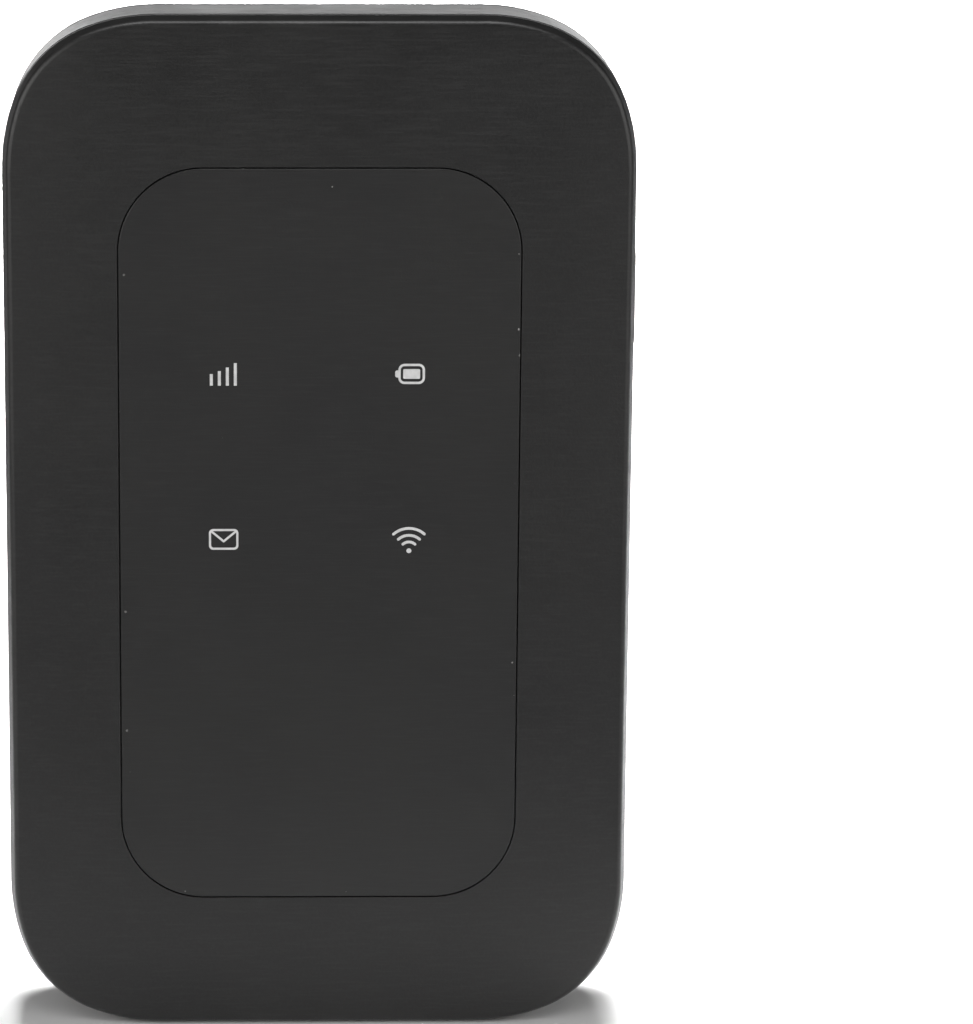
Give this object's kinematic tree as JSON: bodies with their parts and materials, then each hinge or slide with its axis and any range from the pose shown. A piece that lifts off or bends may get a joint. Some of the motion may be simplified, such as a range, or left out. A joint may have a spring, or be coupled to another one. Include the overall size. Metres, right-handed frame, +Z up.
{
  "type": "mobile hotspot",
  "caption": "Pocket mobile hotspot: flat black case with rounded corners, inlaid icon panel, side power key, micro USB socket, lift-off back and battery.",
  "frame": {"origin": "middle of the bottom edge, half way through the thickness, with the hotspot standing upright", "axes": "+Z up the long side towards the top end, +X to the right seen from the front, +Y from the front face to the back"},
  "size_m": [0.0606, 0.014, 0.1],
  "materials": {
    "shell": "satin black moulded plastic with a fine texture",
    "panel": "satin dark grey plastic inlay",
    "icon": "translucent pale grey plastic",
    "clear_plastic": "clear polished plastic",
    "black_rubber": "soft matt rubber",
    "light": "pale clear resin",
    "board": "green solder mask",
    "tape": "thin pale tape",
    "sticker": "matt white paper",
    "foam": "dark grey foam",
    "battery_case": "satin dark wrap",
    "battery_label": "plain pale grey film",
    "gold": "gold plating",
    "copper": "stamped copper alloy",
    "tinned_steel": "tinned sheet steel",
    "screw_steel": "dark steel",
    "chip": "matt black resin",
    "component": "fired ceramic",
    "heat_pad": "soft pale silicone",
    "dark_plastic": "plain black moulding",
    "pale_plastic": "plain ivory moulding"
  },
  "bodies": {
    "case": {"front_cover": "shell", "rear_housing": "shell", "front_panel": "panel", "signal_window": "icon", "battery_window": "icon", "message_window": "icon", "wifi_window": "icon", "panel_adhesive": "tape", "light_guide": "clear_plastic", "light_shield": "black_rubber", "status_lights": "light", "main_board": "board", "moisture_dot": "sticker", "contact_block": "dark_plastic", "contact_springs": "gold", "power_switch": "dark_plastic", "reset_switch": "dark_plastic", "usb_shell": "tinned_steel", "usb_tongue": "dark_plastic", "usb_contacts": "gold", "sim_base": "dark_plastic", "sim_shell": "tinned_steel", "sim_contacts": "gold", "baseband_shield": "tinned_steel", "radio_shield": "tinned_steel", "wifi_shield": "tinned_steel", "baseband_chip": "chip", "memory_chip": "chip", "transceiver_chip": "chip", "power_amplifiers": "chip", "wifi_chip": "chip", "power_manager_chip": "chip", "charger_chip": "chip", "small_components": "component", "thermal_pad": "heat_pad", "main_antenna_carrier": "pale_plastic", "second_antenna_carrier": "pale_plastic", "wifi_antenna_carrier": "pale_plastic", "main_antenna": "copper", "second_antenna": "copper", "wifi_antenna": "copper", "antenna_clips": "gold", "case_screws": "screw_steel"},
    "power_button": {"power_button": "shell"},
    "power_switch_plunger": {"power_switch_plunger": "pale_plastic"},
    "reset_button": {"reset_button": "pale_plastic"},
    "battery": {"battery_pack": "battery_case", "battery_terminals": "gold", "battery_label": "battery_label"},
    "rear_cover": {"rear_cover": "shell", "foam_pad": "foam"}
  },
  "joints": [
    {"name": "power_button_press", "type": "slide", "parent": "case", "child": "power_button", "axis": [-1, 0, 0], "range_m": [0, 0.0003], "stiffness_N_per_m": 400, "springref_m": -0.0005},
    {"name": "power_switch_press", "type": "slide", "parent": "case", "child": "power_switch_plunger", "axis": [-1, 0, 0], "range_m": [0, 0.0003]},
    {"name": "reset_button_press", "type": "slide", "parent": "case", "child": "reset_button", "axis": [0, -1, 0], "range_m": [0, 0.00025], "stiffness_N_per_m": 300, "springref_m": -0.0005},
    {"name": "battery_lift", "type": "slide", "parent": "case", "child": "battery", "axis": [0, 1, 0], "range_m": [0, 0.02]},
    {"name": "rear_cover_lift", "type": "slide", "parent": "case", "child": "rear_cover", "axis": [0, 1, 0], "range_m": [0, 0.04]}
  ],
  "couplings": [
    {"joint": "power_switch_press", "follows": "power_button_press", "ratio": 1},
    {"joint": "rear_cover_lift", "follows": "battery_lift", "ratio": 2}
  ]
}
